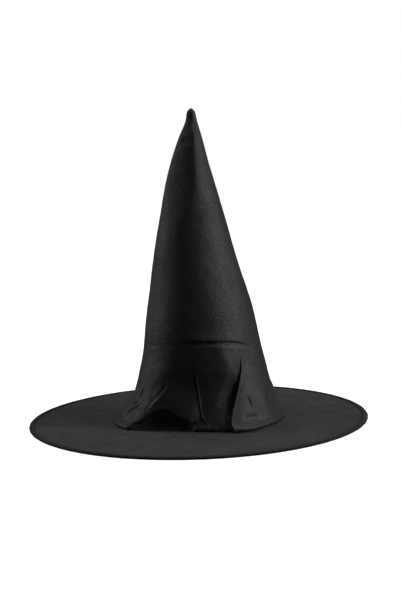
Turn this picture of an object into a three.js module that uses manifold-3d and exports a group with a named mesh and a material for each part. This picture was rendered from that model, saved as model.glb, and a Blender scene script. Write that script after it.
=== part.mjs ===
// A black cloth witch hat: a soft one-panel crown on a flat brim that a spring wire hoop holds open.
// Millimetres, +Z up. The origin is on the table, under the brim's middle, and the wearer looks along -Y.
import * as THREE from "three";
import { mergeVertices } from "three/addons/utils/BufferGeometryUtils.js";
import Module from "manifold-3d";

const wasm = await Module();
wasm.setup();

// Driving dimensions
const brimRadius = 190;
const hatHeight = 350;
const openingRadius = 94; // the head opening before its front slumps in: 590 mm round
const segments = 60; // facets round every ring

// Cloth layers. Sewn layers touch on the real hat, and stand this far apart here.
const gap = 0.2;
const crownCloth = 0.9;
const brimCloth = 0.5;
const bindingTape = 0.5;
const bindingHeight = 3.4; // the rolled edge, from the table to its top
const bindingWidth = 7;
const threadThickness = 0.4;
const clothInset = 4.6; // from the hat's edge to the brim cloths' edge, with the wire between them

// Heights
const underCloth = bindingTape + gap;
const interlining = underCloth + brimCloth + gap;
const topCloth = interlining + brimCloth + gap;
const crownBase = topCloth + brimCloth + gap;
const foldHeight = 100; // where the crown has been folded over for packing
const bendLength = 42; // the cloth above the fold that gives when the crown nods

// The crown's half width and how far it leans to +X, at heights from the table
const crownLine = {
  heights: [
    crownBase, 9, 15, 23, 34, 48, 62, 82, 102, 122, 143, 170, 197, 230, 264, 290, 317, 336, 346, hatHeight,
  ],
  halfWidths: [
    openingRadius, 90.5, 87, 83.5, 78.5, 74.5, 70.6, 66.3, 63.2, 59.7,
    55.2, 49.6, 43.8, 36.2, 27.8, 20.9, 12.9, 5.8, 3.2, 1.2,
  ],
  leans: [0, 1.5, 3, 4.7, 6.5, 7, 7.3, 7.4, 6.8, 6.1, 5.1, 3.2, 1.7, 0.8, 0.1, 0.2, 2, 3.7, 3.7, 3.8],
};
const widthAt = interpolated(crownLine.halfWidths);
const leanAt = interpolated(crownLine.leans);

// The front of the head opening has slumped in to a nearly straight chord.
const slump = {
  distance: 70, // from the origin to the chord
  azimuth: THREE.MathUtils.degToRad(-13.7), // the way the chord faces, from -Y towards +X
  rounding: 12, // where the chord meets the round of the opening
  top: 95, // the slump has gone by this height
};

const black = { color: 0x1a1a1c, roughness: 0.75, metalness: 0 };
const materials = {
  crown: new THREE.MeshStandardMaterial(black),
  brim: new THREE.MeshStandardMaterial(black),
  binding: new THREE.MeshStandardMaterial({ color: 0x0f0f10, roughness: 0.6, metalness: 0 }),
  interlining: new THREE.MeshStandardMaterial({ color: 0x2b2b2c, roughness: 0.95, metalness: 0 }),
  ribbon: new THREE.MeshStandardMaterial({ color: 0x141416, roughness: 0.5, metalness: 0 }),
  thread: new THREE.MeshStandardMaterial({ color: 0x17171a, roughness: 0.45, metalness: 0 }),
  label: new THREE.MeshStandardMaterial({ color: 0xd8d6d0, roughness: 0.6, metalness: 0 }),
  steel: new THREE.MeshStandardMaterial({ color: 0x8d8f93, roughness: 0.35, metalness: 1 }),
};

function interpolated(values) {
  const line = new THREE.LinearInterpolant(crownLine.heights, values, 1);
  return (height) => line.evaluate(Math.max(height, crownBase))[0];
}

// How far the slump pulls the cloth in at an azimuth from -Y towards +X.
function slumpDepth(azimuth) {
  const turn = Math.cos(azimuth - slump.azimuth);
  if (turn < 0.15) return 0;
  const chord = slump.distance / turn;
  const near = Math.max(slump.rounding - Math.abs(openingRadius - chord), 0);
  return openingRadius - Math.min(openingRadius, chord) + near ** 2 / (4 * slump.rounding);
}

function slumpShare(height) {
  return 1 - THREE.MathUtils.smoothstep(height, crownBase, slump.top);
}

// Stands a lathed shape up along +Z, then leans it and slumps its front.
// share says how much of the slump a point takes.
function shaped(profile, share, lean = leanAt) {
  const geometry = new THREE.LatheGeometry(profile, segments).rotateX(Math.PI / 2);
  const place = geometry.getAttribute("position");
  for (let i = 0; i < place.count; i++) {
    const [x, y, z] = [place.getX(i), place.getY(i), place.getZ(i)];
    const azimuth = Math.atan2(x, -y);
    const radius = Math.hypot(x, y);
    const slumped = radius - Math.min(radius, slumpDepth(azimuth) * share(radius, z));
    place.setXY(i, slumped * Math.sin(azimuth) + lean(z), -slumped * Math.cos(azimuth));
  }
  return geometry;
}

function closedProfile(points) {
  return [...points, points[0]].map(([radius, height]) => new THREE.Vector2(radius, height));
}

function heightsBetween(from, to) {
  return [from, ...crownLine.heights.filter((z) => z > from && z < to), to];
}

// A band that follows the crown between two heights, from one depth inside the crown's face to another.
function crownBand(outer, inner, from, to) {
  const heights = heightsBetween(from, to);
  const up = heights.map((z) => [widthAt(z) - outer, z]);
  const down = heights.map((z) => [widthAt(z) - inner, z]).reverse();
  return shaped(closedProfile([...up, ...down]), (radius, z) => slumpShare(z));
}

// A flat ring of brim cloth, whose inner edge follows the head opening.
function brimRing(bottom) {
  const inner = openingRadius - crownCloth;
  const outer = brimRadius - clothInset;
  const top = bottom + brimCloth;
  const profile = closedProfile([
    [outer, bottom],
    [outer, top],
    [inner, top],
    [inner, bottom],
  ]);
  return shaped(profile, (radius) => (radius < openingRadius ? 1 : 0), () => 0);
}

// The upper crown runs to a blunt point, where its turned seam allowances bunch up.
function crownPoint(from) {
  const bluntInside = 5;
  const heights = heightsBetween(from, hatHeight);
  const outside = heights.map((z) => new THREE.Vector2(widthAt(z), z));
  const inside = heights
    .filter((z) => z < hatHeight - bluntInside)
    .map((z) => new THREE.Vector2(Math.max(widthAt(z) - crownCloth, 0.8), z))
    .reverse();
  const profile = [
    new THREE.Vector2(0, hatHeight - bluntInside),
    ...inside,
    ...outside,
    new THREE.Vector2(0, hatHeight + 0.4),
  ];
  return shaped(profile, (radius, z) => slumpShare(z));
}

function edgeBinding() {
  const inner = brimRadius - bindingWidth;
  const roll = 1.1;
  return shaped(
    closedProfile([
      [inner, 0],
      [brimRadius - roll, 0],
      [brimRadius, roll],
      [brimRadius, bindingHeight - roll],
      [brimRadius - roll, bindingHeight],
      [inner, bindingHeight],
      [inner, bindingHeight - bindingTape],
      [brimRadius - bindingTape, bindingHeight - bindingTape],
      [brimRadius - bindingTape, bindingTape],
      [inner, bindingTape],
    ]),
    () => 0,
    () => 0,
  );
}

// The hoop in the brim's edge. Its ends meet in the ferrule, at the back.
const wire = { radius: 0.45, hoopRadius: brimRadius - 2.6, height: bindingHeight / 2, endGap: 1.2 };
const ferrule = { length: 8, bore: wire.radius + 0.35, wall: 0.25, segments: 16 };

function brimWire() {
  const half = wire.endGap / 2 / wire.hoopRadius;
  const hoop = new THREE.Curve();
  hoop.getPoint = (t, target = new THREE.Vector3()) => {
    const turn = Math.PI / 2 + half + t * 2 * (Math.PI - half);
    return target.set(wire.hoopRadius * Math.cos(turn), wire.hoopRadius * Math.sin(turn), wire.height);
  };
  const section = new THREE.Shape().absarc(0, 0, wire.radius, 0, 2 * Math.PI);
  return new THREE.ExtrudeGeometry(section, {
    steps: segments,
    curveSegments: 4,
    bevelEnabled: false,
    extrudePath: hoop,
  });
}

function wireFerrule() {
  const outside = ferrule.bore + ferrule.wall;
  const half = ferrule.length / 2;
  const profile = closedProfile([
    [ferrule.bore, -half],
    [outside, -half],
    [outside, half],
    [ferrule.bore, half],
  ]);
  return new THREE.LatheGeometry(profile, ferrule.segments)
    .rotateZ(Math.PI / 2)
    .translate(0, wire.hoopRadius, wire.height);
}

function bindingThread() {
  const rowRadius = brimRadius - bindingWidth + 1.4;
  const bottom = bindingHeight + gap;
  return shaped(
    closedProfile([
      [rowRadius + threadThickness, bottom],
      [rowRadius + threadThickness, bottom + threadThickness],
      [rowRadius, bottom + threadThickness],
      [rowRadius, bottom],
    ]),
    () => 0,
    () => 0,
  );
}

// Inside the crown: a tape over the head seam, the sweatband over it, its thread and a blank care label.
const tape = { thickness: 0.5, top: 15 };
const band = { thickness: 0.6, top: 27 };
const bandThreadHeight = crownBase + 0.6;
const label = { thickness: 0.5, width: 22, middle: -30, bottom: bandThreadHeight + 1, top: 22 };
const tapeDepth = crownCloth + gap;
const bandDepth = tapeDepth + tape.thickness + gap;
const threadDepth = bandDepth + band.thickness + gap;

function headSeamTape() {
  return crownBand(tapeDepth, tapeDepth + tape.thickness, underCloth, tape.top);
}

function sweatband() {
  return crownBand(bandDepth, bandDepth + band.thickness, underCloth, band.top);
}

function sweatbandThread() {
  const top = bandThreadHeight + threadThickness;
  return crownBand(threadDepth, threadDepth + threadThickness, bandThreadHeight, top);
}

function careLabel() {
  const sheet = solid(crownBand(threadDepth, threadDepth + label.thickness, label.bottom, label.top));
  const block = new THREE.BoxGeometry(label.width, openingRadius, 2 * label.top);
  return geometryOf(sheet.intersect(solid(block.translate(label.middle, openingRadius, label.top))));
}

function solid(geometry) {
  const bare = geometry.clone();
  bare.deleteAttribute("normal");
  bare.deleteAttribute("uv");
  const merged = mergeVertices(bare, 1e-4);
  const vertProperties = merged.getAttribute("position").array;
  return new wasm.Manifold(new wasm.Mesh({ numProp: 3, vertProperties, triVerts: merged.index.array }));
}

function geometryOf(made) {
  const mesh = made.getMesh();
  const geometry = new THREE.BufferGeometry();
  geometry.setAttribute("position", new THREE.BufferAttribute(mesh.vertProperties, mesh.numProp));
  geometry.setIndex(new THREE.BufferAttribute(mesh.triVerts, 1));
  return geometry;
}

const hat = new THREE.Group();

function add(name, material, geometry) {
  const mesh = new THREE.Mesh(geometry, material);
  mesh.name = name;
  hat.add(mesh);
}

const bendTop = foldHeight + bendLength;
add("crown_lower", materials.crown, crownBand(0, crownCloth, crownBase, foldHeight));
add("crown_bend", materials.crown, crownBand(0, crownCloth, foldHeight + gap, bendTop - gap));
add("crown_upper", materials.crown, crownPoint(bendTop));
add("brim_top", materials.brim, brimRing(topCloth));
add("brim_interlining", materials.interlining, brimRing(interlining));
add("brim_under", materials.brim, brimRing(underCloth));
add("edge_binding", materials.binding, edgeBinding());
add("binding_thread", materials.thread, bindingThread());
add("brim_wire", materials.steel, brimWire());
add("wire_ferrule", materials.steel, wireFerrule());
add("head_seam_tape", materials.ribbon, headSeamTape());
add("sweatband", materials.ribbon, sweatband());
add("sweatband_thread", materials.thread, sweatbandThread());
add("care_label", materials.label, careLabel());

export default hat;
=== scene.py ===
# The looks of a black cloth witch hat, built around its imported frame.
# Lengths in the settings are millimetres and angles are degrees.
import math

import bpy
import numpy as np
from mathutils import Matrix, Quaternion, Vector


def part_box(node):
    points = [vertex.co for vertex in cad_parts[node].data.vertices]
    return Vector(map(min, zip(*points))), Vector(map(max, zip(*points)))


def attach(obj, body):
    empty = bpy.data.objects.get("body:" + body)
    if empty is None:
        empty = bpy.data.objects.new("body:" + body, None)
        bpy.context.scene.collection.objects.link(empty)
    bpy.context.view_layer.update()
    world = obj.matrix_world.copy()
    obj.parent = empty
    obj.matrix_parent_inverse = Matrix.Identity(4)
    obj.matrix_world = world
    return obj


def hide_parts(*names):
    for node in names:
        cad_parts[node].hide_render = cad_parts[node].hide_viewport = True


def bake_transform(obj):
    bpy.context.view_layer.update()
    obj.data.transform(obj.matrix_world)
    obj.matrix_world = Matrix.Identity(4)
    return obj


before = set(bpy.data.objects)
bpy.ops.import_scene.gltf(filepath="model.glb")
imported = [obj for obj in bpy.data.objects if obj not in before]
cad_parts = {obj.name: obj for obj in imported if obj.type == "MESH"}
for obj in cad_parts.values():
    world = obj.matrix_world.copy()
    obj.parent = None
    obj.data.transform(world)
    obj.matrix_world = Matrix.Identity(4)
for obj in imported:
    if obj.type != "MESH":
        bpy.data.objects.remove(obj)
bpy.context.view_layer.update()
bpy.ops.object.select_all(action="DESELECT")

mm = 0.001
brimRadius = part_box("edge_binding")[1].x / mm
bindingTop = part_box("edge_binding")[1].z / mm
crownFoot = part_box("brim_top")[1].z / mm
print("frame loaded:", len(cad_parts), "nodes")

view = {
    "distance": 1800,
    "elevation": 8.1,
    "roll": -2.03,
    "lens": 96.7,
    "sensor": 36,
    "aim": (6.9, 0, 135.9),
}


def makeCamera():
    bpy.ops.object.camera_add()
    camera = bpy.context.object
    camera.name = "camera"
    camera.data.lens = view["lens"]
    camera.data.sensor_width = view["sensor"]
    rise = math.radians(view["elevation"])
    back = Vector((0, -math.cos(rise), math.sin(rise)))
    camera.location = (Vector(view["aim"]) + back * view["distance"]) * mm
    camera.rotation_mode = "QUATERNION"
    turned = Quaternion((0, 0, 1), math.radians(view["roll"]))
    camera.rotation_quaternion = (-back).to_track_quat("-Z", "Y") @ turned
    camera.data.clip_start = 0.01
    camera.data.clip_end = 100
    bpy.context.scene.camera = camera


# Each light: where it stands, its width and height, its watts
studio = {
    "rightLight": {"place": (1660, -420, 750), "size": (1500, 1700), "watts": 26},
    "leftLight": {"place": (-1740, 520, 650), "size": (1300, 1500), "watts": 10.3},
    "frontLight": {"place": (-600, -1900, 420), "size": (1500, 1200), "watts": 1.1},
    "topLight": {"place": (100, 500, 1900), "size": (1600, 1200), "watts": 19},
}
lightsAim = Vector((0, 0, 130 * mm))
stage = {"floorSize": 12000, "white": 0.5, "glow": 1.0}


def makeStudio():
    for name, light in studio.items():
        bpy.ops.object.light_add(type="AREA")
        lamp = bpy.context.object
        lamp.name = name
        lamp.data.shape = "RECTANGLE"
        lamp.data.size = light["size"][0] * mm
        lamp.data.size_y = light["size"][1] * mm
        lamp.data.energy = light["watts"]
        lamp.location = Vector(light["place"]) * mm
        aim = lightsAim - lamp.location
        lamp.rotation_mode = "QUATERNION"
        lamp.rotation_quaternion = aim.to_track_quat("-Z", "Y")


def makeStage():
    bpy.ops.mesh.primitive_plane_add(size=stage["floorSize"] * mm)
    floor = bpy.context.object
    floor.name = "floor"
    paint = bpy.data.materials.new("paleFloor")
    paint.use_nodes = True
    shader = paint.node_tree.nodes["Principled BSDF"]
    shader.inputs["Base Color"].default_value = (stage["white"],) * 3 + (1,)
    shader.inputs["Roughness"].default_value = 1
    shader.inputs["Specular IOR Level"].default_value = 0
    shader.inputs["Emission Color"].default_value = (1, 1, 1, 1)
    shader.inputs["Emission Strength"].default_value = stage["glow"]
    floor.data.materials.append(paint)
    # The floor shows white but throws no light back up at the black cloth
    floor.visible_diffuse = False
    floor.visible_glossy = False
    world = bpy.data.worlds.new("whiteSurround")
    world.use_nodes = True
    world.node_tree.nodes["Background"].inputs["Color"].default_value = (1, 1, 1, 1)
    world.node_tree.nodes["Background"].inputs["Strength"].default_value = 1
    world.cycles_visibility.diffuse = False
    world.cycles_visibility.glossy = False
    bpy.context.scene.world = world
    bpy.context.scene.view_settings.view_transform = "Standard"


makeCamera()
makeStudio()
makeStage()
print("camera, lights and floor made")


def ease(share):
    share = np.clip(share, 0, 1)
    return share * share * (3 - 2 * share)


def through(knots, values, at):
    # A smooth line through the knots, level past its two ends
    knots = np.asarray(knots, float)
    values = np.asarray(values, float)
    slopes = np.gradient(values, knots)
    at = np.clip(at, knots[0], knots[-1])
    i = np.clip(np.searchsorted(knots, at, side="right") - 1, 0, len(knots) - 2)
    span = knots[i + 1] - knots[i]
    t = (at - knots[i]) / span
    rising = t * t * (3 - 2 * t)
    leaving = span * slopes[i] * t * (1 - t) ** 2
    arriving = span * slopes[i + 1] * t * t * (t - 1)
    return values[i] * (1 - rising) + values[i + 1] * rising + leaving + arriving


def softNoise(places, scale, seed):
    # Smooth noise from -1 to 1 or so, with bumps about that many millimetres apart
    chance = np.random.default_rng(seed)
    waves = 14
    total = np.zeros(len(places))
    for _ in range(waves):
        direction = chance.normal(size=3)
        direction *= chance.uniform(0.6, 1.4) / np.linalg.norm(direction)
        phase = chance.uniform(0, 2 * math.pi)
        total += np.sin(places @ direction * (2 * math.pi / scale) + phase)
    return total / math.sqrt(waves)


def softLesser(a, b, rounding):
    near = np.maximum(rounding - np.abs(a - b), 0)
    return np.minimum(a, b) - near**2 / (4 * rounding)


def bell(distance, width):
    return np.exp(-((distance / width) ** 2))


def sheetMesh(name, places, uv, closed=True, tip=None):
    # A mesh from rows of points in millimetres. closed joins each row's end to its start,
    # and tip adds a point on top.
    rows, columns = places.shape[:2]
    points = list(map(tuple, places.reshape(-1, 3) * mm))
    last = columns if closed else columns - 1
    faces = []
    faceUv = []
    for r in range(rows - 1):
        low, high = r * columns, (r + 1) * columns
        for c in range(last):
            n = (c + 1) % columns
            faces.append((low + c, low + n, high + n, high + c))
            faceUv += [uv[r, c], uv[r, c + 1], uv[r + 1, c + 1], uv[r + 1, c]]
    if tip is not None:
        points.append(tuple(np.array(tip) * mm))
        top = (rows - 1) * columns
        for c in range(last):
            faces.append((top + c, top + (c + 1) % columns, len(points) - 1))
            faceUv += [uv[-1, c], uv[-1, c + 1], uv[-1, c]]
    mesh = bpy.data.meshes.new(name)
    mesh.from_pydata(points, [], faces)
    layer = mesh.uv_layers.new(name="cloth")
    layer.data.foreach_set("uv", (np.array(faceUv) * mm).astype(np.float32).ravel())
    mesh.polygons.foreach_set("use_smooth", [True] * len(mesh.polygons))
    piece = bpy.data.objects.new(name, mesh)
    bpy.context.scene.collection.objects.link(piece)
    return piece


def applyModifier(piece, kind, **settings):
    bpy.ops.object.select_all(action="DESELECT")
    piece.select_set(True)
    bpy.context.view_layer.objects.active = piece
    modifier = piece.modifiers.new(kind.lower(), kind)
    for key, value in settings.items():
        setattr(modifier, key, value)
    bpy.ops.object.modifier_apply(modifier=modifier.name)
    piece.select_set(False)


def thicken(piece, thickness, side=-1, innerMaterial=0):
    applyModifier(
        piece,
        "SOLIDIFY",
        thickness=thickness * mm,
        offset=side,
        material_offset=innerMaterial,
        material_offset_rim=0,
    )


def pointValues(piece, name, values):
    attribute = piece.data.attributes.new(name, "FLOAT", "POINT")
    attribute.data.foreach_set("value", np.asarray(values, np.float32).ravel())


# The cone's stations: height above the table, half width, lean to the right
coneStations = [
    (2.6, 94, 0),
    (9, 91, 1.5),
    (15, 87.5, 3),
    (23, 83.5, 4.7),
    (34, 78.3, 6.5),
    (48, 74, 7),
    (62, 70.6, 7.3),
    (82, 66.3, 7.4),
    (102, 63.2, 6.8),
    (122, 59.7, 6.1),
    (143, 55.2, 5.1),
    (170, 49.6, 3.2),
    (197, 43.8, 1.7),
    (230, 36.2, 0.8),
    (264, 27.8, 0.1),
    (290, 20.9, 0.2),
    (317, 12.9, 2),
    (336, 6.2, 3.7),
    (346, 3.8, 3.7),
    (348.6, 1.8, 3.8),
]
cone = dict(zip(("heights", "halfWidths", "leans"), zip(*coneStations)))

# The slumped flat panel in front. Azimuths are degrees from the front towards +X.
panel = {
    "heights": [2.6, 12, 25, 45, 70, 90, 100, 112],
    "azimuths": [-13.7, -13, -9, -6, -7, -8, -8, -8],
    "distances": [70, 69.3, 67, 65.4, 66.4, 64.7, 63.3, 64],
    "roundings": [6, 7, 10, 12, 7, 5, 5, 4],
    "bow": [0, 1, 3, 4, 3, 2, 1, 1],  # how far it sags back at bowReach degrees to each side
    "bowReach": 30,
    "bulges": [0, 0, 0, 0.6, 3, 3.6, 2.4, 0],
    "bulgeFrom": -18,
    "bulgeTo": 38,
    "bulgeStart": 20,
    "bulgeEnd": 30,
    "fadeFrom": 98,  # above this height it rounds out into the cone
    "fadeOver": 12,
    "fadeDepth": 40,
}

# The upper crown, squashed flat from the front left. Distance and rounding are shares of the half width.
squash = {
    "heights": [225, 275, 350],
    "amounts": [0, 0.75, 1],
    "azimuth": -30,
    "distance": 0.89,
    "rounding": 0.5,
}

# The big fold on the right, whose edge hangs over the panel
lobe = {
    "heights": [2.6, 12, 26, 40, 54, 66, 76, 86],
    "edges": [24.5, 22.3, 24, 28.4, 33.4, 36.8, 38.5, 39.4],
    "amounts": [0.55, 0.9, 1, 0.9, 0.75, 0.55, 0.3, 0],
    "wall": 3.5,  # degrees in which the cloth turns under
    "behind": 2.5,  # how far it runs back under the fold
    "back": 2.5,  # degrees in which it comes out again
    "recovery": 13,  # degrees over which the dip beside the fold fades
    "depths": [0.6, 0.8, 2.8, 4.4, 4.4, 3.6, 2.8, 2.4],
    "roll": 1.5,
    "rollWidth": 6,
    "wearAndHighlight": 0.8,
    "wearAndHighlightWidth": 1.2,
    "middle": 30,  # where the columns' slide towards its edge is greatest
    "reach": 45,
}

# The tucked foot on the left, with the front hanging over it
tuck = {
    "azimuths": [-58, -50, -43, -34, -20, -10, -2],
    "heights": [8, 12, 23.5, 26.5, 18.5, 13.5, 10.5],
    "amounts": [0, 0.5, 1, 1, 1, 0.8, 0],
    "inward": 10,
    "outward": 4,
    "outwardReach": 34,
    "droop": 3,
    "droopReach": 10,
    "wearAndHighlight": 0.5,
    "wearAndHighlightAbove": 3.5,
    "wearAndHighlightWidth": 2,
}

# The packing crease across the front, with a painted highlight on the lip just below it
crease = {
    "azimuths": [-75, -55, -34, -19, -10, 12, 38, 49, 66, 85],
    "heights": [91, 92, 95, 97, 97.6, 97, 93.4, 90, 82, 78],
    "amounts": [0, 0.12, 0.1, 0.08, 0.65, 1, 0.85, 0.3, 0.1, 0],
    "depth": 2.2,
    "width": 1.2,
    "widthAbove": 1.9,
    "lip": 0.25,
    "lipBelow": 4,
    "lipWidth": 2.6,
    # Painted highlight on the lip below the crease: how strong, how far below, how wide
    "wearAndHighlight": 0.8,
    "highlightBelow": 2.6,
    "wearAndHighlightWidth": 1.2,
}

# Single wrinkles: from and to (azimuth, height), half width, how far they stand out
wrinkles = [
    ((-62, 44), (-68, 24), 2.0, -2.0),
    ((-33, 50), (-45, 30), 1.1, 0.7),
    ((-36, 51), (-48, 31), 1.4, -0.7),
    ((-50, 39), (-51, 25), 1.0, 0.9),
    ((-53, 28), (-72, 10), 1.6, 1.2),
    ((-57, 33), (-80, 13), 1.6, 1.0),
    ((-58, 36), (-88, 14), 2.4, 1.2),
    ((-60, 27), (-80, 9), 1.6, -1.8),
    ((-66, 30), (-76, 20), 1.3, -1.6),
    ((38.4, 37.5), (40.4, 26), 1.1, -1.6),
    ((41.4, 38), (43.6, 27), 1.5, 0.5),
    ((34, 15.5), (45, 14.5), 3.6, -1.9),
    ((33, 45), (39, 51), 1.8, 0.6),
    ((62, 34), (74, 16), 6.0, -1.2),
    ((52, 30), (60, 12), 5.0, 0.8),
    ((-70, 309), (60, 318), 1.3, -0.8),
    ((-70, 316), (40, 325), 1.5, 0.7),
    ((-60, 303), (20, 309), 2.2, 0.4),
    ((10, 330), (60, 331), 2.2, -1.2),
    ((-70, 335), (10, 338), 1.8, -0.6),
    ((-80, 341), (80, 342), 1.2, -1.0),
    ((0, 327), (50, 334), 2.6, -1.1),
    ((-75, 311), (-20, 316), 1.2, -0.9),
    ((120, 60), (150, 28), 5.0, -1.6),
    ((-120, 70), (-150, 30), 5.5, -1.8),
    ((95, 40), (110, 14), 4.0, 1.4),
    ((-100, 34), (-118, 10), 4.0, 1.5),
    ((168, 50), (150, 12), 4.0, -1.5),
    ((-165, 46), (-148, 10), 4.0, 1.3),
]

# The thin pinched pleat in the middle of the panel
pleat = {
    "heights": [9, 19, 35, 52, 67],
    "azimuths": [7, 0.5, -3.8, -5.9, -7.2],
    "width": 0.8,
    "height": 1.1,
    "dip": 0.25,
    "dipWidth": 3,
    "foot": 8,
    "top": 56,
    "wearAndHighlight": 0.7,
    "wearAndHighlightWidth": 1.1,
}

# The turned hem: how far it puffs out over the head seam, and by how much more around some azimuths
hem = {
    "puff": 2,
    "fuller": [(35, 5.5, 11), (70, 1.8, 22), (-80, 1.5, 20)],
    "flatAt": 16,
    "flatWidth": 5,
    "flatShare": 0.7,
    "pleatFootAt": 5,
    "pleatFootWidth": 6,
    "pleatFoot": 1.6,
    "height": 3.8,
    "roll": 3.2,
    "pucker": 0.55,
    "puckerFade": 7,
}

cloth = {
    "thickness": 0.9,
    "cut": (590, 365),
    "cutArea": 0.11,  # square metres
    "weaveRadius": 60,
    "seamGroove": 0.8,
    "seamWidth": 1.1,
    "seamPucker": 0.35,
    "puckerBeside": 4,
    "puckerWidth": 3.5,
    "broadBumps": 0.34,
    "smallBumps": 0.09,
}

farOff = 999  # stands for no limit on a radius


def chordRadius(azimuth, facing, distance):
    # How far out a flat sheet stands at that azimuth, with no limit behind it
    turn = np.cos(np.radians(azimuth - facing))
    return np.where(turn > 0.2, distance / np.maximum(turn, 0.2), farOff)


def lineDistance(across, up, start, end):
    # Distance to a stroke on the unrolled cloth, and how far along it the nearest point is
    run = np.array(end) - np.array(start)
    along = ((across - start[0]) * run[0] + (up - start[1]) * run[1]) / (run @ run)
    near = np.clip(along, 0, 1)
    return np.hypot(across - start[0] - near * run[0], up - start[1] - near * run[1]), along


def panelRadius(azimuth, height, coneRadius):
    # The cone with its front slumped flat
    facing = through(panel["heights"], panel["azimuths"], height)
    distance = through(panel["heights"], panel["distances"], height)
    rounding = through(panel["heights"], panel["roundings"], height)
    bow = through(panel["heights"], panel["bow"], height)
    chord = chordRadius(azimuth, facing, distance)
    chord = chord - bow * ((azimuth - facing) / panel["bowReach"]) ** 2
    fading = panel["fadeDepth"] * ease((height - panel["fadeFrom"]) / panel["fadeOver"])
    starting = ease((azimuth - panel["bulgeFrom"]) / panel["bulgeStart"])
    bulging = starting * ease((panel["bulgeTo"] - azimuth) / panel["bulgeEnd"])
    bulge = through(panel["heights"], panel["bulges"], height) * bulging
    return softLesser(coneRadius + bulge, chord + fading, rounding)


def squashedRadius(azimuth, height, coneRadius, radius):
    squashed = through(squash["heights"], squash["amounts"], height)
    near = 1 - (1 - squash["distance"]) * squashed
    chord = chordRadius(azimuth, squash["azimuth"], near * coneRadius)
    rounding = squash["rounding"] * coneRadius * np.maximum(squashed, 0.001)
    return softLesser(radius, chord, rounding)


def foldRight(azimuth, height, coneRadius, flattened):
    # The fold on the right: the new radius, the azimuth after folding, and how much paler its edge is made
    edge = through(lobe["heights"], lobe["edges"], height)
    amount = through(lobe["heights"], lobe["amounts"], height)
    depth = through(lobe["heights"], lobe["depths"], height)
    past = azimuth - edge
    beyondWall = -past - lobe["wall"]
    opened = ease(amount * 1.4)
    wall = np.clip(-past / lobe["wall"], 0, 1)
    back = np.clip(beyondWall / lobe["back"], 0, 1)
    recovered = ease(beyondWall / lobe["recovery"])
    # Above the fold's end the panel rounds into the cone without a step
    ownSide = np.where(past > 0, 1, 1 - ease(wall)) * ease(amount * 2)
    outer = coneRadius - lobe["roll"] * amount * bell(past, lobe["rollWidth"])
    radius = flattened * (1 - ownSide) + outer * ownSide
    radius -= opened * depth * np.where(past < -lobe["wall"], 1 - recovered, ease(wall))
    hidden = edge + lobe["behind"] * amount
    folded = np.where(past > 0, azimuth, edge * (1 - ease(wall)) + hidden * ease(wall))
    unfolded = edge - lobe["wall"] - lobe["back"]
    folded = np.where(back > 0, hidden * (1 - back) + unfolded * back, folded)
    folded = np.where(back >= 1, azimuth, folded)
    placed = azimuth * (1 - opened) + folded * opened
    return radius, placed, lobe["wearAndHighlight"] * amount * bell(past, lobe["wearAndHighlightWidth"])


def tuckLeft(azimuth, height, radius, wearAndHighlight):
    # The tucked foot on the left, and the front's lip that droops over it
    foldHeight = through(tuck["azimuths"], tuck["heights"], azimuth)
    tucked = through(tuck["azimuths"], tuck["amounts"], azimuth)
    above = height - foldHeight
    climbed = np.clip((height - crownFoot) / np.maximum(foldHeight - 2 - crownFoot, 3), 0, 1)
    rise = 1 - (1 - climbed) ** 2.5
    lip = ease((above + 1) / 4)
    radius -= tucked * tuck["inward"] * rise * (1 - lip)
    radius += tucked * tuck["outward"] * lip * (1 - ease((above - 4) / tuck["outwardReach"]))
    height = height - tucked * tuck["droop"] * lip * (1 - ease((above - 2) / tuck["droopReach"]))
    wearAndHighlight += tuck["wearAndHighlight"] * tucked * bell(above - tuck["wearAndHighlightAbove"], tuck["wearAndHighlightWidth"])
    return radius, height, wearAndHighlight, tucked


def creaseAcross(azimuth, height, radius, wearAndHighlight):
    creaseHeight = through(crease["azimuths"], crease["heights"], azimuth)
    creased = through(crease["azimuths"], crease["amounts"], azimuth)
    over = height - creaseHeight
    widthAbove = crease["width"] * crease["widthAbove"]
    groove = np.where(over > 0, bell(over, widthAbove), bell(over, crease["width"]))
    radius -= creased * crease["depth"] * groove
    radius += creased * crease["lip"] * bell(over + crease["lipBelow"], crease["lipWidth"])
    # Painted highlight: the lip just below the crease is made paler, standing in for the light it catches
    wearAndHighlight += crease["wearAndHighlight"] * creased * bell(over + crease["highlightBelow"], crease["wearAndHighlightWidth"])
    return radius, wearAndHighlight


def pinchPleat(azimuth, height, coneRadius, radius, wearAndHighlight):
    middle = through(pleat["heights"], pleat["azimuths"], height)
    ends = ease((height - pleat["foot"]) / 5) * (1 - ease((height - pleat["top"]) / 15))
    beside = np.radians(azimuth - middle) * coneRadius
    dip = pleat["dip"] * bell(beside + pleat["dipWidth"], pleat["dipWidth"])
    radius += pleat["height"] * ends * (bell(beside, pleat["width"]) - dip)
    wearAndHighlight += pleat["wearAndHighlight"] * ends * bell(beside, pleat["wearAndHighlightWidth"])
    return radius, wearAndHighlight


def addWrinkles(azimuth, height, radius, wearAndHighlight):
    for start, end, width, out in wrinkles:
        midHeight = np.array([(start[1] + end[1]) / 2])
        size = through(cone["heights"], cone["halfWidths"], midHeight)[0]
        first = (math.radians(start[0]) * size, start[1])
        last = (math.radians(end[0]) * size, end[1])
        stroke, along = lineDistance(np.radians(azimuth) * size, height, first, last)
        taper = ease(np.minimum(along + 0.15, 1.15 - along) * 3)
        radius += out * bell(stroke, width) * taper
        wearAndHighlight += max(out, 0) * 0.12 * bell(stroke, width * 0.6) * taper
    return radius, wearAndHighlight


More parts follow.
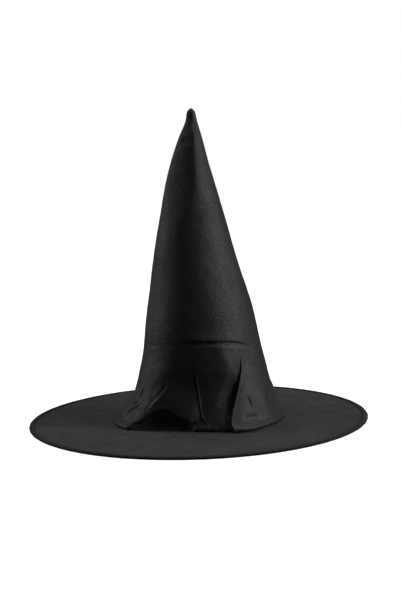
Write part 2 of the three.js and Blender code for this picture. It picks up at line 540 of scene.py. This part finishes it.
def puffHem(azimuth, height, across, tucked, radius):
    # The hem puffs out over the head seam, and the stitches pull it into small puckers
    foot = height - crownFoot
    puff = hem["puff"]
    for middle, more, width in hem["fuller"]:
        puff = puff + more * bell(azimuth - middle, width)
    puff *= 1 - hem["flatShare"] * bell(azimuth - hem["flatAt"], hem["flatWidth"])
    puff += hem["pleatFoot"] * bell(azimuth - hem["pleatFootAt"], hem["pleatFootWidth"])
    radius += puff * (1 - tucked) * (bell(foot - hem["height"], hem["roll"]) - 0.35 * bell(foot, 1.2))
    puckers = hem["pucker"] * np.sin(across * 0.62 + 2.2 * np.sin(across * 0.11))
    radius += puckers * np.exp(-np.maximum(foot, 0) / hem["puckerFade"]) * ease(foot / 2)
    return radius


def crownSurface(azimuth, height):
    # Points of the crown's outer face and how much paler each is made, for wear and painted highlights.
    # Azimuths are those before folding.
    coneRadius = through(cone["heights"], cone["halfWidths"], height)
    lean = through(cone["heights"], cone["leans"], height)
    across = np.radians(azimuth) * coneRadius
    flattened = panelRadius(azimuth, height, coneRadius)
    flattened = squashedRadius(azimuth, height, coneRadius, flattened)
    radius, placed, wearAndHighlight = foldRight(azimuth, height, coneRadius, flattened)
    radius, height, wearAndHighlight, tucked = tuckLeft(azimuth, height, radius, wearAndHighlight)
    radius, wearAndHighlight = creaseAcross(azimuth, height, radius, wearAndHighlight)
    radius, wearAndHighlight = pinchPleat(azimuth, height, coneRadius, radius, wearAndHighlight)
    radius, wearAndHighlight = addWrinkles(azimuth, height, radius, wearAndHighlight)
    radius = puffHem(azimuth, height, across, tucked, radius)

    # The seam up the back
    fromSeam = np.radians(180 - np.abs(azimuth)) * coneRadius
    radius -= cloth["seamGroove"] * bell(fromSeam, cloth["seamWidth"])
    pulled = cloth["seamPucker"] * np.sin(height * 0.75)
    radius += pulled * bell(fromSeam - cloth["puckerBeside"], cloth["puckerWidth"])

    turned = np.radians(placed)
    points = np.stack([lean + radius * np.sin(turned), -radius * np.cos(turned), height], -1)
    flat = points.reshape(-1, 3)
    outward = np.stack([np.sin(turned), -np.cos(turned), 0 * turned], -1).reshape(-1, 3)
    calm = np.clip(coneRadius.reshape(-1, 1) / 40, 0.15, 1)
    settled = ease((height.reshape(-1, 1) - crownFoot) / 8)
    broad = cloth["broadBumps"] * softNoise(flat * (1, 1, 0.6), 40, 3)
    bumps = broad + cloth["smallBumps"] * softNoise(flat, 14, 4)
    flat = flat + outward * bumps[:, None] * calm * settled
    return flat.reshape(points.shape), wearAndHighlight


def crownColumns():
    # Azimuths of the crown's columns, closest at the pleat and the right fold
    left = np.arange(-72, -14, 1.15)
    atPleat = np.arange(-14, 12, 0.65)
    between = np.arange(12, 20, 1)
    atFold = np.arange(20, 48, 0.6)
    right = np.arange(48, 72, 1.6)
    rest = np.linspace(72, 288, 84, endpoint=False)
    return np.concatenate([left, atPleat, between, atFold, right, rest])


def crownRows():
    foot = np.arange(crownFoot + 0.05, 36, 0.8)
    middle = np.arange(36, 114, 1.2)
    top = 114 + (cone["heights"][-1] - 114) * np.linspace(0, 1, 90)
    return np.concatenate([foot, middle, top])


def followFold(azimuth, height):
    # Slides the columns sideways, so that the right fold's edge runs along one of them
    edge = through(lobe["heights"], lobe["edges"], height)
    share = 1 - ease(np.abs(azimuth - lobe["middle"]) / lobe["reach"])
    return azimuth + (edge - lobe["middle"]) * share


def makeCrown():
    columns, heights = crownColumns(), crownRows()
    azimuth, height = np.meshgrid(columns, heights)
    azimuth = np.where(azimuth > 180, azimuth - 360, azimuth)
    azimuth = followFold(azimuth, height)
    places, wearAndHighlight = crownSurface(azimuth, height)
    joined = np.append(columns, columns[0] + 360)
    uv = np.stack(np.meshgrid(np.radians(joined) * cloth["weaveRadius"], heights), -1)
    tip = places[-1].mean(0) + (0, 0, 0.8)
    crown = sheetMesh("crown", places, uv, tip=tip)
    pointValues(crown, "wearAndHighlight", np.append(wearAndHighlight.ravel(), 0))
    return crown


# Spacings of the mottling and the clouds, and how deep the threads and the mottling are, in metres
weave = {
    "mottle": 3,
    "cloud": 22,
    "threadDepth": 0.00009,
    "mottleDepth": 0.0007,
    "sheen": 0.05,
    "sheenRoughness": 0.45,
}

# Each cloth's tones (dark, light, and the paler tone mixed in for wear and painted highlights), its threads'
# spacing, how much of its mottling is cloudy, how rough it is and how much it shines
cloths = {
    "blackWeave": {"tones": (0.008, 0.02, 0.05), "thread": 0.62, "cloud": 0.3, "rough": 0.58, "shine": 0.42},
    "brimWeave": {"tones": (0.003, 0.035, 0.07), "thread": 0.62, "cloud": 0.6, "rough": 0.62, "shine": 0.3},
    "greyFusing": {"tones": (0.02, 0.034, 0.05), "thread": 1.4, "cloud": 0.3, "rough": 0.9, "shine": 0.2},
    "bindingTape": {"tones": (0.004, 0.008, 0.03), "thread": 0.4, "cloud": 0.3, "rough": 0.7, "shine": 0.2},
    "blackRibbon": {"tones": (0.007, 0.016, 0.03), "thread": 0.9, "cloud": 0.3, "rough": 0.5, "shine": 0.5},
    "labelSatin": {"tones": (0.5, 0.68, 0.7), "thread": 0.3, "cloud": 0.3, "rough": 0.42, "shine": 0.5},
}


def newMaterial(name):
    material = bpy.data.materials.new(name)
    material.use_nodes = True
    return material, material.node_tree.nodes, material.node_tree.links


def mathNode(nodes, links, operation, *values):
    node = nodes.new("ShaderNodeMath")
    node.operation = operation
    for socket, value in zip(node.inputs, values):
        if isinstance(value, (int, float)):
            socket.default_value = value
        else:
            links.new(value, socket)
    return node.outputs[0]


def mixColour(nodes, links, share, first, second):
    node = nodes.new("ShaderNodeMix")
    node.data_type = "RGBA"
    links.new(share, node.inputs["Factor"])
    for socket, value in ((node.inputs[6], first), (node.inputs[7], second)):
        if isinstance(value, tuple):
            socket.default_value = value + (1,)
        else:
            links.new(value, socket)
    return node.outputs[2]


def noiseNode(nodes, links, vector, scale, detail=3):
    node = nodes.new("ShaderNodeTexNoise")
    node.inputs["Scale"].default_value = scale
    node.inputs["Detail"].default_value = detail
    links.new(vector, node.inputs["Vector"])
    return node.outputs["Fac"]


def spreadNode(nodes, links, value, low, high, start=0, end=1):
    node = nodes.new("ShaderNodeMapRange")
    node.inputs["From Min"].default_value = low
    node.inputs["From Max"].default_value = high
    node.inputs["To Min"].default_value = start
    node.inputs["To Max"].default_value = end
    links.new(value, node.inputs["Value"])
    return node.outputs[0]


def bumpNode(nodes, links, height, strength, distance, below=None):
    node = nodes.new("ShaderNodeBump")
    node.inputs["Strength"].default_value = strength
    node.inputs["Distance"].default_value = distance
    links.new(height, node.inputs["Height"])
    if below is not None:
        links.new(below, node.inputs["Normal"])
    return node.outputs[0]


def grey(tone):
    return (tone, tone, tone)


def clothMaterial(name):
    # Woven cloth whose threads follow the piece's own map, with mottling, cloudy fading
    # and a paler tone where the pale attribute asks for it, for worn folds and for painted highlights
    look = cloths[name]
    dark, light, wornAndLit = look["tones"]
    material, nodes, links = newMaterial(name)
    shader = nodes["Principled BSDF"]
    place = nodes.new("ShaderNodeTexCoord")
    apart = nodes.new("ShaderNodeSeparateXYZ")
    links.new(place.outputs["UV"], apart.inputs[0])
    turns = math.pi / (look["thread"] * mm)
    warp = mathNode(nodes, links, "SINE", mathNode(nodes, links, "MULTIPLY", apart.outputs["X"], turns))
    weft = mathNode(nodes, links, "SINE", mathNode(nodes, links, "MULTIPLY", apart.outputs["Y"], turns))
    crossing = mathNode(nodes, links, "MULTIPLY", warp, weft)
    height = mathNode(nodes, links, "MULTIPLY_ADD", crossing, 0.5, 0.5)
    mottle = noiseNode(nodes, links, place.outputs["Object"], 1 / (weave["mottle"] * mm))
    cloud = noiseNode(nodes, links, place.outputs["Object"], 1 / (weave["cloud"] * mm), 2)
    fine = spreadNode(nodes, links, mottle, 0.3, 0.7)
    broad = spreadNode(nodes, links, cloud, 0.35, 0.65)
    clouds = mathNode(nodes, links, "MULTIPLY", broad, look["cloud"])
    blotch = mathNode(nodes, links, "MULTIPLY_ADD", fine, 1 - look["cloud"], clouds)
    blotches = mathNode(nodes, links, "MULTIPLY", blotch, 0.7)
    threads = mathNode(nodes, links, "MULTIPLY_ADD", height, 0.3, blotches)
    colour = mixColour(nodes, links, threads, grey(dark), grey(light))
    # Painted highlights and wear: this attribute mixes the paler tone in on lit lips, ridges and bands
    attribute = nodes.new("ShaderNodeAttribute")
    attribute.attribute_name = "wearAndHighlight"
    wearAndHighlight = mathNode(nodes, links, "MULTIPLY", attribute.outputs["Fac"], mottle)
    links.new(mixColour(nodes, links, wearAndHighlight, colour, grey(wornAndLit)), shader.inputs["Base Color"])
    rough = spreadNode(nodes, links, blotch, 0, 1, look["rough"] + 0.08, look["rough"] - 0.08)
    links.new(rough, shader.inputs["Roughness"])
    shader.inputs["Specular IOR Level"].default_value = look["shine"]
    shader.inputs["Sheen Weight"].default_value = weave["sheen"]
    shader.inputs["Sheen Roughness"].default_value = weave["sheenRoughness"]
    relief = bumpNode(nodes, links, height, 0.55, weave["threadDepth"])
    relief = bumpNode(nodes, links, mottle, 0.6, weave["mottleDepth"], relief)
    links.new(relief, shader.inputs["Normal"])
    return material


def steelMaterial():
    material, nodes, links = newMaterial("springSteel")
    shader = nodes["Principled BSDF"]
    place = nodes.new("ShaderNodeTexCoord")
    smears = noiseNode(nodes, links, place.outputs["Object"], 400)
    colour = mixColour(nodes, links, smears, (0.25, 0.25, 0.26), (0.42, 0.42, 0.43))
    links.new(colour, shader.inputs["Base Color"])
    links.new(spreadNode(nodes, links, smears, 0.3, 0.7, 0.25, 0.45), shader.inputs["Roughness"])
    shader.inputs["Metallic"].default_value = 1
    return material


def threadMaterial():
    material, nodes, links = newMaterial("blackThread")
    shader = nodes["Principled BSDF"]
    place = nodes.new("ShaderNodeTexCoord")
    twist = noiseNode(nodes, links, place.outputs["Object"], 2500)
    links.new(mixColour(nodes, links, twist, grey(0.008), grey(0.025)), shader.inputs["Base Color"])
    links.new(spreadNode(nodes, links, twist, 0.3, 0.7, 0.35, 0.55), shader.inputs["Roughness"])
    return material


finishes = {name: clothMaterial(name) for name in cloths}
finishes["springSteel"] = steelMaterial()
finishes["blackThread"] = threadMaterial()
for node in ("brim_wire", "wire_ferrule"):
    bpy.data.objects[node].material_slots[0].material = finishes["springSteel"]
print("materials made:", len(finishes))

crown = makeCrown()
crown.data.materials.append(finishes["blackWeave"])
crown.data.materials.append(finishes["greyFusing"])
thicken(crown, cloth["thickness"], innerMaterial=1)
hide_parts("crown_lower", "crown_bend", "crown_upper")
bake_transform(crown)
print("crown made:", len(crown.data.polygons), "faces")

# The brim, whose packing fold is a straight ridge across its front, with a painted highlight on its front
# side
brim = {
    "clothEdge": brimRadius - 4.6,
    "foldAzimuth": -13.7,
    "foldDistance": 70,
    "ridge": 3.4,
    "frontSlope": 55,
    "rearSlope": 26,
    "fadeAzimuth": 8,
    "fadeOver": 16,
    "fadeShare": 0.8,
    # Painted highlight in front of the packing fold: how strong and how far it reaches
    "frontHighlight": 0.7,
    "frontHighlightWidth": 30,
    "rearLift": 1,
    "arch": 0.4,
    "waves": [(0.8, 75, 11), (0.35, 30, 12), (0.1, 13, 13)],
    "pucker": 0.5,
    "underCrown": 2,
    "underFold": 6,
    "underFoldAzimuth": 27,
    "rings": 46,
    "cut": (371, 371),
    "cutArea": 0.083,  # square metres
}


def openingRadius(azimuth):
    chord = chordRadius(azimuth, panel["azimuths"][0], panel["distances"][0])
    return softLesser(cone["halfWidths"][0] + 0 * azimuth, chord, panel["roundings"][0])


def beforeFold(x, y):
    # How far in front of the packing fold's line
    facing = math.radians(brim["foldAzimuth"])
    return x * math.sin(facing) - y * math.cos(facing) - brim["foldDistance"]


def brimRise(x, y):
    # How far the brim's middle stands off the table, with the packing fold across its front
    radius = np.hypot(x, y)
    azimuth = np.degrees(np.arctan2(x, -y))
    inner = openingRadius(azimuth)
    share = np.clip((radius - inner) / (brim["clothEdge"] - inner), 0, 1)
    arch = np.sin(math.pi * share) ** 1.2
    before = beforeFold(x, y)
    onFold = ease(share * 2.2) * np.clip((1 - share) * 5, 0, 1)
    onFold = onFold * (1 - brim["fadeShare"] * ease((azimuth - brim["fadeAzimuth"]) / brim["fadeOver"]))
    inFront = brim["ridge"] * np.exp(-np.abs(before) / brim["frontSlope"])
    behind = brim["ridge"] * np.exp(-np.abs(before) / brim["rearSlope"])
    lift = onFold * np.where(before > 0, inFront, behind) + arch * brim["rearLift"] * ease(-before / 40)
    places = np.stack([x, y, 0 * x], -1).reshape(-1, 3)
    waves = sum(height * softNoise(places, apart, seed) for height, apart, seed in brim["waves"])
    waves = waves.reshape(x.shape) * arch
    across = np.arctan2(x, -y) * cone["halfWidths"][0]
    puckers = brim["pucker"] * np.sin(across * 0.5 + 2 * np.sin(across * 0.09))
    pull = puckers * np.exp(-share * 11) * ease(share * 30)
    return np.maximum(lift + waves + pull + brim["arch"] * arch, 0)


def brimPaintedLight(x, y):
    # Painted highlight: paler along the front of the packing fold, standing in for the light that side
    # catches, with less of it to the right
    before = beforeFold(x, y)
    onLeft = 1 - 0.6 * ease((x + 20) / 60)
    fading = np.exp(-np.maximum(before, 0) / brim["frontHighlightWidth"])
    return brim["frontHighlight"] * ease((before + 1) / 2.5) * fading * onLeft


def brimSheet(name, node, side, step):
    # A ring of cloth: side is 1 where its upper face is built first, -1 for its lower one
    low, high = (value.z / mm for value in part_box(node))
    azimuth = np.arange(0, 360, step)
    shares = np.linspace(0, 1, brim["rings"])
    turned, share = np.meshgrid(azimuth, shares)
    turned = np.where(turned > 180, turned - 360, turned)
    underFold = brim["underFold"] * bell(turned - brim["underFoldAzimuth"], 6)
    inner = openingRadius(turned) - brim["underCrown"] - underFold
    radius = inner + (brim["clothEdge"] - inner) * share
    x = radius * np.sin(np.radians(turned))
    y = -radius * np.cos(np.radians(turned))
    level = high if side > 0 else low
    places = np.stack([x, y, level + brimRise(x, y)], -1)
    if side > 0:
        places = places[::-1]
    joined = np.concatenate([places, places[:, :1]], 1)
    piece = sheetMesh(name, places, joined[..., :2])
    if side > 0:
        # The painted highlight in front of the packing fold goes on the upper face
        pointValues(piece, "wearAndHighlight", brimPaintedLight(places[..., 0], places[..., 1]))
    return piece, high - low


def makeBrimCloth(name, node, finish, side, step):
    piece, thickness = brimSheet(name, node, side, step)
    piece.data.materials.append(finishes[finish])
    thicken(piece, thickness)
    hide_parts(node)
    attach(piece, "hat_base")
    return piece


makeBrimCloth("brimTopCloth", "brim_top", "brimWeave", 1, 1)
makeBrimCloth("brimInterlining", "brim_interlining", "greyFusing", 1, 2)
makeBrimCloth("brimUnderCloth", "brim_under", "brimWeave", -1, 1)
print("brim cloths made")

binding = {
    "width": 6.6,
    "tape": 0.5,
    "cut": (13.9, 1190),
    "pucker": 0.16,
    "puckerWidth": 1.6,
    "puckerDepth": 0.7,
    "wobble": 0.12,
    # Painted highlight on the top band: from and to (in from its inner edge), its azimuth and its reach
    "highlightFrom": 2.2,
    "highlightTo": 5.6,
    "highlightAzimuth": 88,
    "highlightReach": 34,
    "stitches": 300,
    "stitchLine": 1.7,
    "stitchLength": 3,
    "stitchWidth": 0.42,
    "stitchSink": 0.3,
}


def bindingOutline():
    # The tape's section, from its inner edge on top, round the rim, to the same place inside
    tall, tape = bindingTop, binding["tape"]
    rim = brimRadius
    inner = rim - binding["width"]
    groove = inner + binding["stitchLine"]
    middle = tall / 2
    turns = np.radians(np.arange(12, 180, 12))
    outside = [(inner, tall - 0.5), (inner + 0.5, tall - 0.06), (groove, tall - 0.3), (inner + 3.4, tall)]
    bow = [(rim - 2.5 + 2.5 * math.sin(a), middle + middle * math.cos(a)) for a in turns]
    below = [(inner + 3.4, 0), (groove, 0.3), (inner + 0.5, 0.06), (inner, 0.5)]
    lining = [(inner + 0.1, tape), (rim - 3.2, tape), (rim - tape - 0.5, tape + 0.6), (rim - tape, middle)]
    liningTop = [(r, tall - z) for r, z in reversed(lining[:-1])]
    outline = outside + bow + below + lining + liningTop
    return outline[::-1] + [outline[-1]]


def makeBinding():
    # The tape folded round the wire, its top band painted paler on the right as a painted highlight, so that
    # its unpainted edges read as painted shade lines
    outline = bindingOutline()
    inner, middle = brimRadius - binding["width"], bindingTop / 2
    columns = binding["stitches"] * 4
    turned = np.radians(np.arange(columns) * 360 / columns)
    wobble = binding["wobble"] * np.sin(turned * 41 + 2 * np.sin(turned * 9))
    pinched = binding["pucker"] * np.cos(turned * binding["stitches"])
    paler = bell(np.degrees(turned) - binding["highlightAzimuth"], binding["highlightReach"])
    rows = []
    wearAndHighlight = []
    for radius, height in outline:
        ring = radius + wobble * ease((radius - inner) / binding["width"])
        nearStitches = bell(radius - inner - binding["stitchLine"], binding["puckerWidth"])
        dip = np.maximum(pinched * nearStitches, 0)
        onTop = height > middle
        level = np.maximum(height - dip * (height > bindingTop - binding["puckerDepth"]), 0)
        rows.append(np.stack([ring * np.sin(turned), -ring * np.cos(turned), level], -1))
        # Painted highlight along the middle of the top band, strongest on the right side, with the edges
        # left dark as painted shade lines
        onBand = onTop and binding["highlightFrom"] < radius - inner < binding["highlightTo"]
        wearAndHighlight.append(onBand * paler)
    steps = np.hypot(*np.diff(np.array(outline), axis=0).T)
    lengths = np.concatenate([[0], np.cumsum(steps)])
    uv = np.stack(np.meshgrid(np.append(turned, 2 * math.pi) * brimRadius, lengths), -1)
    piece = sheetMesh("edgeBinding", np.array(rows), uv)
    pointValues(piece, "wearAndHighlight", np.array(wearAndHighlight))
    applyModifier(piece, "WELD", merge_threshold=0.00001)
    piece.data.materials.append(finishes["bindingTape"])
    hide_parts("edge_binding")
    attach(piece, "hat_base")
    return piece


makeBinding()


def stitchRow(name, middles, along, outward, length, width, columns=6):
    # One mesh of equal stitches, each a thread that dives into the cloth at both ends.
    # Each ring is a share of the length, a share of the width, and a lift in half widths.
    rings = [(-0.5, 0.35, -0.9), (-0.3, 0.85, 0.0), (0.0, 1.0, 0.35), (0.3, 0.85, 0.0), (0.5, 0.35, -0.9)]
    turned = np.arange(columns) * 2 * math.pi / columns
    across = np.cross(along, outward)
    points = []
    faces = []
    for middle, forward, side, up in zip(middles, along, across, outward):
        first = len(points)
        for share, size, lift in rings:
            centre = middle + forward * share * length + up * lift * width / 2
            for turn in turned:
                spoke = side * math.cos(turn) + up * math.sin(turn)
                points.append(centre + spoke * size * width / 2)
        last = first + (len(rings) - 1) * columns
        for r in range(len(rings) - 1):
            low = first + r * columns
            for c in range(columns):
                n = (c + 1) % columns
                faces.append((low + c, low + columns + c, low + columns + n, low + n))
        faces.append(tuple(first + c for c in range(columns)))
        faces.append(tuple(last + c for c in reversed(range(columns))))
    mesh = bpy.data.meshes.new(name)
    mesh.from_pydata([tuple(p * mm) for p in points], [], faces)
    mesh.polygons.foreach_set("use_smooth", [True] * len(mesh.polygons))
    mesh.materials.append(finishes["blackThread"])
    piece = bpy.data.objects.new(name, mesh)
    bpy.context.scene.collection.objects.link(piece)
    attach(piece, "hat_base")
    return piece


def makeBindingStitches():
    # Each stitch lies on the tape, above and below the brim
    count = binding["stitches"]
    turned = (np.arange(count) + 0.5) * 2 * math.pi / count
    radius = brimRadius - binding["width"] + binding["stitchLine"]
    zero = 0 * turned
    forward = np.stack([np.cos(turned), np.sin(turned), zero], -1)
    up = np.stack([zero, zero, zero + 1], -1)
    ring = np.stack([radius * np.sin(turned), -radius * np.cos(turned), zero], -1)
    top = ring + up * (bindingTop - binding["stitchSink"])
    bottom = ring + up * binding["stitchSink"]
    middles = np.concatenate([top, bottom])
    along, outward = np.tile(forward, (2, 1)), np.concatenate([up, -up])
    length, width = binding["stitchLength"], binding["stitchWidth"]
    row = stitchRow("bindingStitches", middles, along, outward, length, width)
    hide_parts("binding_thread")


makeBindingStitches()
print("binding and its stitches made")

# What is sewn inside the crown. depth is how far in from the crown's inner face it lies.
inside = {
    "tape": {"depth": 0.1, "thickness": 0.45, "bottom": 0.7, "top": 15, "cutWidth": 15.7},
    "sweatband": {"depth": 0.75, "thickness": 0.6, "bottom": 0.7, "top": 27, "cutWidth": 28.7},
    "bandLength": 560,
    "stitches": {"depth": 1.35, "height": 3.8, "count": 170, "length": 2.4, "width": 0.42},
    "clear": 5,  # degrees it keeps clear of the crown's folds on both sides
    "smoothing": 4,
    "weaveRadius": 88,
}
label = {
    "depth": 1.5,
    "thickness": 0.25,
    "bottom": 5,
    "top": 23,
    "azimuth": -161,
    "reach": 8.2,
    "flare": 1.2,
    "weaveRadius": 85,
    "cut": (24, 21.5),
}


def insideRadius(height):
    # How far out the crown's inner face is at each whole degree, kept clear of its folds
    azimuth = np.arange(-180, 180, 0.5)
    level = max(height, crownFoot + 0.05)
    points, _ = crownSurface(azimuth, np.full(azimuth.shape, level))
    lean = through(cone["heights"], cone["leans"], level)
    x, y = points[:, 0] - lean, points[:, 1]
    found = np.degrees(np.arctan2(x, -y))
    radius = np.hypot(x, y) - cloth["thickness"]
    wanted = np.arange(-180, 180)
    apart = np.abs((wanted[:, None] - found[None, :] + 180) % 360 - 180)
    nearest = np.where(apart < inside["clear"], radius[None, :], farOff).min(1)
    width = inside["smoothing"]
    padded = np.concatenate([nearest[-width:], nearest, nearest[:width]])
    return np.convolve(padded, np.ones(2 * width + 1) / (2 * width + 1), "valid")


bandHeights = np.concatenate([[0.7], np.arange(2.6, 28, 1.22)])  # from the bands' foot past their top
insideRadii = np.array([insideRadius(height) for height in bandHeights])


def insidePlaces(azimuth, height, depth):
    # Points that far inside the crown's inner face
    azimuth, height = np.broadcast_arrays(azimuth, height)
    column = (azimuth + 180) % 360
    row = np.interp(height, bandHeights, np.arange(len(bandHeights)))
    r = np.clip(row.astype(int), 0, len(bandHeights) - 2)
    c = column.astype(int) % 360
    down, right = row - r, column - column.astype(int)
    low = insideRadii[r, c] * (1 - right) + insideRadii[r, (c + 1) % 360] * right
    high = insideRadii[r + 1, c] * (1 - right) + insideRadii[r + 1, (c + 1) % 360] * right
    radius = low * (1 - down) + high * down - depth
    lean = through(cone["heights"], cone["leans"], height)
    turned = np.radians(azimuth)
    return np.stack([lean + radius * np.sin(turned), -radius * np.cos(turned), height], -1)


def makeBand(name, node, finish, band):
    azimuth = np.arange(-180, 180, 2)
    heights = np.linspace(band["bottom"], band["top"], 16)
    places = insidePlaces(azimuth[None, :], heights[:, None], band["depth"])
    joined = np.append(azimuth, 180)
    uv = np.stack(np.meshgrid(np.radians(joined) * inside["weaveRadius"], heights), -1)
    piece = sheetMesh(name, places, uv)
    piece.data.materials.append(finishes[finish])
    thicken(piece, band["thickness"])
    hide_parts(node)
    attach(piece, "hat_base")
    return piece


def makeLabel():
    # A blank satin label, sewn to the sweatband at the back
    azimuth = label["azimuth"] + np.linspace(-label["reach"], label["reach"], 22)
    heights = np.linspace(label["bottom"], label["top"], 18)
    places = insidePlaces(azimuth[None, :], heights[:, None], label["depth"])
    flare = label["flare"] * ((heights - label["bottom"]) / (label["top"] - label["bottom"])) ** 2
    turned = np.radians(azimuth)[None, :]
    places[..., 0] -= flare[:, None] * np.sin(turned)
    places[..., 1] += flare[:, None] * np.cos(turned)
    uv = np.stack(np.meshgrid(np.radians(azimuth) * label["weaveRadius"], heights), -1)
    piece = sheetMesh("careLabel", places, uv, closed=False)
    piece.data.materials.append(finishes["labelSatin"])
    thicken(piece, label["thickness"])
    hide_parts("care_label")
    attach(piece, "hat_base")
    return piece


def makeBandStitches():
    sewing = inside["stitches"]
    azimuth = np.arange(sewing["count"]) * 360 / sewing["count"] - 180
    middles = insidePlaces(azimuth, sewing["height"], sewing["depth"])
    ahead = insidePlaces(azimuth + 1, sewing["height"], sewing["depth"])
    forward = ahead - middles
    forward /= np.linalg.norm(forward, axis=1)[:, None]
    up = np.stack([-forward[:, 1], forward[:, 0], 0 * azimuth], -1)
    row = stitchRow("bandStitches", middles, forward, up, sewing["length"], sewing["width"])
    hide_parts("sweatband_thread")


makeBand("headSeamTape", "head_seam_tape", "blackRibbon", inside["tape"])
makeBand("sweatBand", "sweatband", "blackRibbon", inside["sweatband"])
makeLabel()
makeBandStitches()
print("sweatband, tape and label made")
